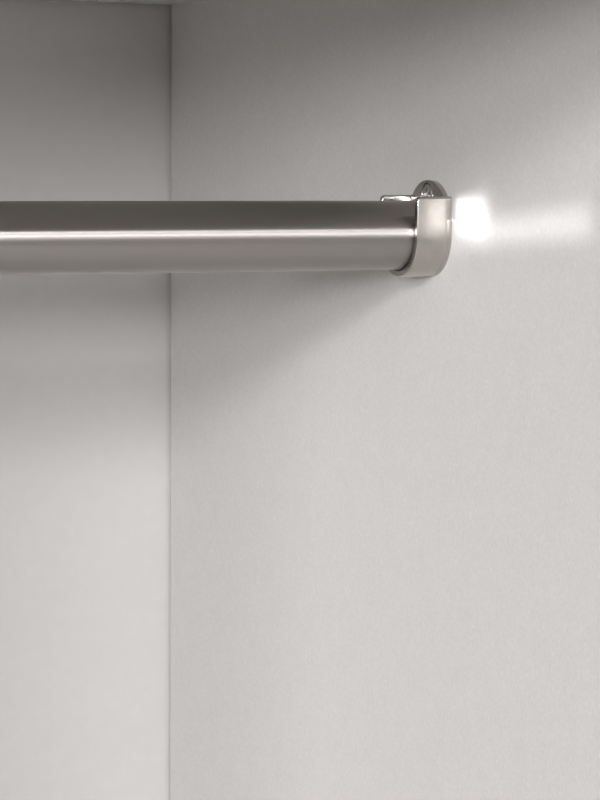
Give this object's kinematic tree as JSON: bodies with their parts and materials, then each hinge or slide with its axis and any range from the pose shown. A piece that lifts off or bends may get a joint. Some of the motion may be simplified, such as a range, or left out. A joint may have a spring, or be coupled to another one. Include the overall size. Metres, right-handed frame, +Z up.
{
  "type": "chifforobe",
  "caption": "White chifforobe: a tall hanging compartment with a chrome rail behind an open door, beside drawers under a small cupboard.",
  "frame": {"origin": "on the floor under the middle leg, at the centre of the carcass in width and depth", "axes": "+Z up, +X to the right, the front with doors and drawers towards -Y"},
  "size_m": [1.0304, 1.0381, 1.78],
  "materials": {
    "melamine_board": "white melamine facing on chipboard, matt, very fine texture",
    "back_board": "white faced hardboard, matt",
    "chrome": "bright chrome plating",
    "nickel_steel": "nickel-plated pressed steel",
    "enamelled_steel": "white epoxy powder coat",
    "leg_plastic": "black moulded plastic, matt"
  },
  "bodies": {
    "carcass": {"adjustable_shelf": "melamine_board", "back_panel": "back_board", "bottom_panel": "melamine_board", "cupboard_door_hinge_1_arm": "nickel_steel", "cupboard_door_hinge_2_arm": "nickel_steel", "drawer_1_runner_left": "enamelled_steel", "drawer_1_runner_right": "enamelled_steel", "drawer_2_runner_left": "enamelled_steel", "drawer_2_runner_right": "enamelled_steel", "drawer_3_runner_left": "enamelled_steel", "drawer_3_runner_right": "enamelled_steel", "fixed_shelf": "melamine_board", "hanging_rail": "chrome", "leg_front_left": "leg_plastic", "leg_front_right": "leg_plastic", "leg_middle": "leg_plastic", "leg_rear_left": "leg_plastic", "leg_rear_right": "leg_plastic", "partition": "melamine_board", "rail_socket_left": "chrome", "rail_socket_right": "chrome", "side_left": "melamine_board", "side_right": "melamine_board", "top_panel": "melamine_board", "wardrobe_door_hinge_1_arm": "nickel_steel", "wardrobe_door_hinge_2_arm": "nickel_steel", "wardrobe_door_hinge_3_arm": "nickel_steel"},
    "wardrobe_door_links": {"wardrobe_door_hinge_1_link": "nickel_steel", "wardrobe_door_hinge_2_link": "nickel_steel", "wardrobe_door_hinge_3_link": "nickel_steel"},
    "wardrobe_door_leaf": {"wardrobe_door": "melamine_board", "wardrobe_door_handle": "chrome", "wardrobe_door_hinge_1_cup": "nickel_steel", "wardrobe_door_hinge_2_cup": "nickel_steel", "wardrobe_door_hinge_3_cup": "nickel_steel"},
    "cupboard_door_links": {"cupboard_door_hinge_1_link": "nickel_steel", "cupboard_door_hinge_2_link": "nickel_steel"},
    "cupboard_door_leaf": {"cupboard_door": "melamine_board", "cupboard_door_handle": "chrome", "cupboard_door_hinge_1_cup": "nickel_steel", "cupboard_door_hinge_2_cup": "nickel_steel"},
    "drawer_1_box": {"drawer_1_back": "melamine_board", "drawer_1_bottom": "melamine_board", "drawer_1_front": "melamine_board", "drawer_1_handle": "chrome", "drawer_1_side_left": "enamelled_steel", "drawer_1_side_right": "enamelled_steel"},
    "drawer_2_box": {"drawer_2_back": "melamine_board", "drawer_2_bottom": "melamine_board", "drawer_2_front": "melamine_board", "drawer_2_handle": "chrome", "drawer_2_side_left": "enamelled_steel", "drawer_2_side_right": "enamelled_steel"},
    "drawer_3_box": {"drawer_3_back": "melamine_board", "drawer_3_bottom": "melamine_board", "drawer_3_front": "melamine_board", "drawer_3_handle": "chrome", "drawer_3_side_left": "enamelled_steel", "drawer_3_side_right": "enamelled_steel"}
  },
  "joints": [
    {"name": "wardrobe_door_link_turn", "type": "hinge", "parent": "carcass", "child": "wardrobe_door_links", "pos_m": [0.4622, -0.2645, 0.94], "axis": [0, 0, 1], "range_deg": [-5, 30]},
    {"name": "wardrobe_door_swing", "type": "hinge", "parent": "wardrobe_door_links", "child": "wardrobe_door_leaf", "pos_m": [0.47988, -0.28487, 0.94], "axis": [0, 0, 1], "range_deg": [-120, 20]},
    {"name": "cupboard_door_link_turn", "type": "hinge", "parent": "carcass", "child": "cupboard_door_links", "pos_m": [-0.4622, -0.2645, 1.2895], "axis": [0, 0, -1], "range_deg": [-35, 0]},
    {"name": "cupboard_door_swing", "type": "hinge", "parent": "cupboard_door_links", "child": "cupboard_door_leaf", "pos_m": [-0.4877, -0.2733, 1.2895], "axis": [0, 0, -1], "range_deg": [0, 140]},
    {"name": "drawer_1_slide", "type": "slide", "parent": "carcass", "child": "drawer_1_box", "axis": [0, -1, 0], "range_m": [0, 0.34]},
    {"name": "drawer_2_slide", "type": "slide", "parent": "carcass", "child": "drawer_2_box", "axis": [0, -1, 0], "range_m": [0, 0.34]},
    {"name": "drawer_3_slide", "type": "slide", "parent": "carcass", "child": "drawer_3_box", "axis": [0, -1, 0], "range_m": [0, 0.34]}
  ],
  "couplings": [
    {"joint": "wardrobe_door_link_turn", "follows": "wardrobe_door_swing", "ratio": -0.25},
    {"joint": "cupboard_door_link_turn", "follows": "cupboard_door_swing", "ratio": -0.25}
  ]
}
